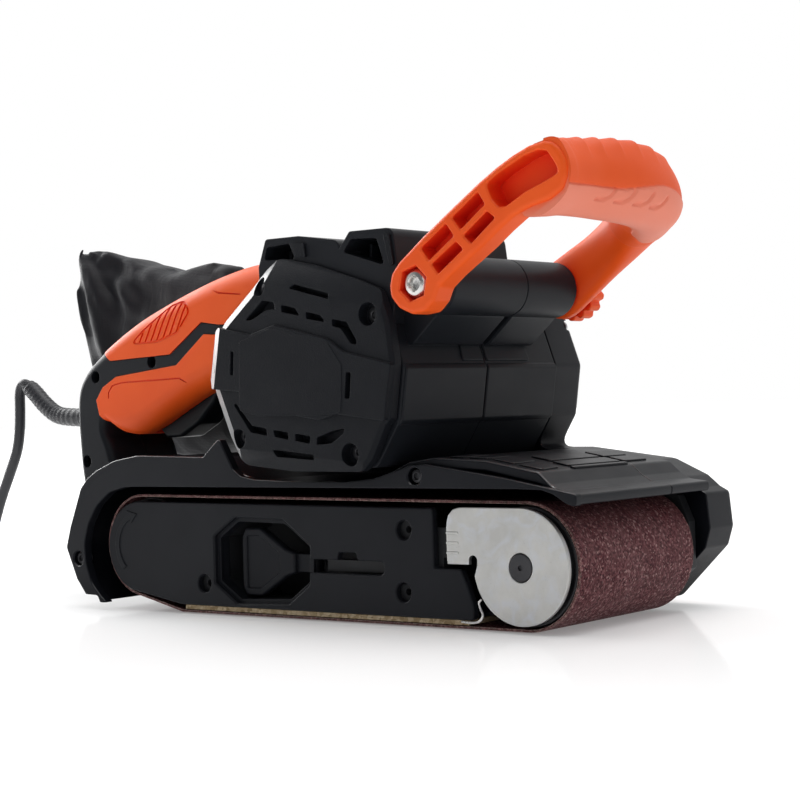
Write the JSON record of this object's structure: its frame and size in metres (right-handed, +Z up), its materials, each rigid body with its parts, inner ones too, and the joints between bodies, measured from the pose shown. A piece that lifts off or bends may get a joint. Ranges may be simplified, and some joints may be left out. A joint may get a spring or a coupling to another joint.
{
  "type": "handheld belt sander",
  "caption": "Corded handheld belt sander with belt release lever, tilting front handle, rear D-handle, toothed belt drive and fabric dust bag.",
  "frame": {"origin": "point on the flat underside of the sanding belt (the work plane), midway between the two roller axes and at mid belt width", "axes": "+X forward to the nose along the belt, +Z up away from the work, +Y to the drive side; the belt comes off at the -Y side"},
  "size_m": [0.4263, 0.137, 0.1751],
  "materials": {
    "black_plastic": "satin",
    "black_satin": "satin",
    "orange_plastic": "satin",
    "orange_soft": "matte",
    "abrasive": "matte",
    "zinc_steel": "satin",
    "steel": "satin",
    "cork": "matte",
    "copper": "satin",
    "brass": "satin",
    "carbon": "matte",
    "rubber": "matte",
    "alloy": "satin",
    "fabric": "matte",
    "board": "satin"
  },
  "bodies": {
    "chassis": {"base_frame": "alloy", "side_plate": "black_plastic", "sanding_belt": "abrasive", "platen_plate": "steel", "platen_pad": "cork", "drive_bearing_near": "steel", "drive_bearing_far": "steel", "tension_spring": "steel", "lever_pin": "steel", "belt_guard_near": "black_plastic", "belt_guard_far": "black_plastic", "drive_cover": "black_plastic", "timing_belt": "rubber", "motor_bearing_near": "steel", "motor_bearing_far": "steel", "stator_core": "steel", "brush_holder_front": "brass", "brush_holder_rear": "brass", "carbon_brush_front": "carbon", "carbon_brush_rear": "carbon", "motor_end_cap": "black_plastic", "motor_housing_near": "black_plastic", "motor_housing_far": "black_plastic", "rear_handle_near": "black_plastic", "rear_handle_far": "black_plastic", "upper_grip": "orange_plastic", "lower_grip": "orange_plastic", "trigger_switch": "black_satin", "speed_control_board": "board", "dust_outlet": "black_plastic", "cord_sleeve": "rubber", "power_cord": "rubber", "cap_screw_upper_rear": "steel", "cap_screw_upper_front": "steel", "cap_screw_lower_rear": "steel", "cap_screw_lower_front": "steel"},
    "armature": {"armature_shaft": "steel", "armature_core": "steel", "commutator": "copper", "cooling_fan": "black_satin", "motor_pulley": "alloy"},
    "drive_unit": {"drive_roller": "rubber", "drive_shaft": "steel", "driven_pulley": "alloy"},
    "tension_carriage": {"tension_bracket": "zinc_steel", "tension_slide": "steel", "idler_axle": "steel"},
    "idler_roller": {"front_roller": "alloy"},
    "belt_release_lever": {"tension_lever": "black_plastic"},
    "front_handle": {"front_handle_frame": "orange_plastic", "front_handle_grip": "orange_soft", "handle_clamp_bolt": "zinc_steel"},
    "clamp_knob": {"handle_clamp_knob": "orange_plastic"},
    "switch_trigger": {"trigger": "black_satin"},
    "trigger_lock": {"lock_button": "black_satin"},
    "speed_wheel": {"speed_dial": "black_satin"},
    "tracking_adjuster": {"tracking_knob": "orange_plastic"},
    "dust_collector": {"dust_bag": "fabric", "bag_collar": "black_plastic"}
  },
  "joints": [
    {"name": "armature_spin", "type": "hinge", "parent": "chassis", "child": "armature", "pos_m": [0.0065, 0, 0.0955], "axis": [0, 1, 0], "continuous": true},
    {"name": "drive_roller_spin", "type": "hinge", "parent": "chassis", "child": "drive_unit", "pos_m": [-0.0993, 0, 0.02677], "axis": [0, 1, 0], "continuous": true},
    {"name": "tension_carriage_slide", "type": "slide", "parent": "chassis", "child": "tension_carriage", "axis": [1, 0, 0], "range_m": [-0.0065, 0], "deforming": ["tension_spring"]},
    {"name": "idler_spin", "type": "hinge", "parent": "tension_carriage", "child": "idler_roller", "pos_m": [0.0993, 0, 0.02331], "axis": [0, 1, 0], "continuous": true},
    {"name": "belt_release_hinge", "type": "hinge", "parent": "chassis", "child": "belt_release_lever", "pos_m": [-0.0095, -0.0295, 0.0212], "axis": [0, 0, 1], "range_deg": [0, 80]},
    {"name": "front_handle_tilt", "type": "hinge", "parent": "chassis", "child": "front_handle", "pos_m": [0.0646, 0, 0.1255], "axis": [0, 1, 0], "range_deg": [-40, 25]},
    {"name": "clamp_knob_turn", "type": "hinge", "parent": "front_handle", "child": "clamp_knob", "pos_m": [0.0646, 0.0468, 0.1255], "axis": [0, 1, 0], "range_deg": [-360, 0]},
    {"name": "trigger_squeeze", "type": "hinge", "parent": "chassis", "child": "switch_trigger", "pos_m": [-0.086, 0, 0.091], "axis": [0, 1, 0], "range_deg": [0, 8]},
    {"name": "lock_button_press", "type": "slide", "parent": "chassis", "child": "trigger_lock", "axis": [0, 1, 0], "range_m": [-0.003, 0]},
    {"name": "speed_dial_turn", "type": "hinge", "parent": "chassis", "child": "speed_wheel", "pos_m": [-0.058, 0.0182, 0.1265], "axis": [0, 1, 0], "range_deg": [-135, 135]},
    {"name": "tracking_turn", "type": "hinge", "parent": "chassis", "child": "tracking_adjuster", "pos_m": [0.086, 0.066, 0.024], "axis": [0, 1, 0], "range_deg": [-180, 180]},
    {"name": "dust_bag_pull", "type": "slide", "parent": "chassis", "child": "dust_collector", "axis": [-1, 0, 0], "range_m": [0, 0.03]}
  ],
  "couplings": [
    {"joint": "drive_roller_spin", "follows": "armature_spin", "ratio": 0.53333},
    {"joint": "belt_release_hinge", "follows": "tension_carriage_slide", "rad_per_m": -214}
  ]
}
